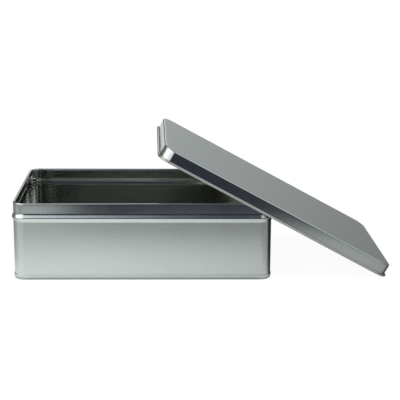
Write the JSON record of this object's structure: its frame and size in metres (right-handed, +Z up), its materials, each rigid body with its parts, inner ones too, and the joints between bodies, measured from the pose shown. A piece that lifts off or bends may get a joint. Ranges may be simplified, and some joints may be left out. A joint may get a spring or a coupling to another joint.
{
  "type": "rectangular metal tin with loose lid",
  "caption": "Open rectangular tinplate box with rounded corners, rolled rim, stop bead and seamed foot, its loose lid leaning on the end.",
  "frame": {"origin": "on the ground, under the middle of the bounding box of the tin and its lid together", "axes": "+X along the tin's long side, from the open end to the end where the lid reaches the ground; +Y from the front wall to the back wall; +Z up"},
  "size_m": [0.3542, 0.1654, 0.1278],
  "materials": {
    "body_tinplate": "satin silver tinplate with a fine grain outside and a smoother, glossier face inside",
    "base_tinplate": "satin silver tinplate, rolled tight into the foot seam",
    "lid_tinplate": "satin silver tinplate panel with a glossier drawn skirt and curl"
  },
  "bodies": {
    "root": {"tin_wall": "body_tinplate", "tin_base": "base_tinplate", "lid": "lid_tinplate"}
  },
  "joints": []
}
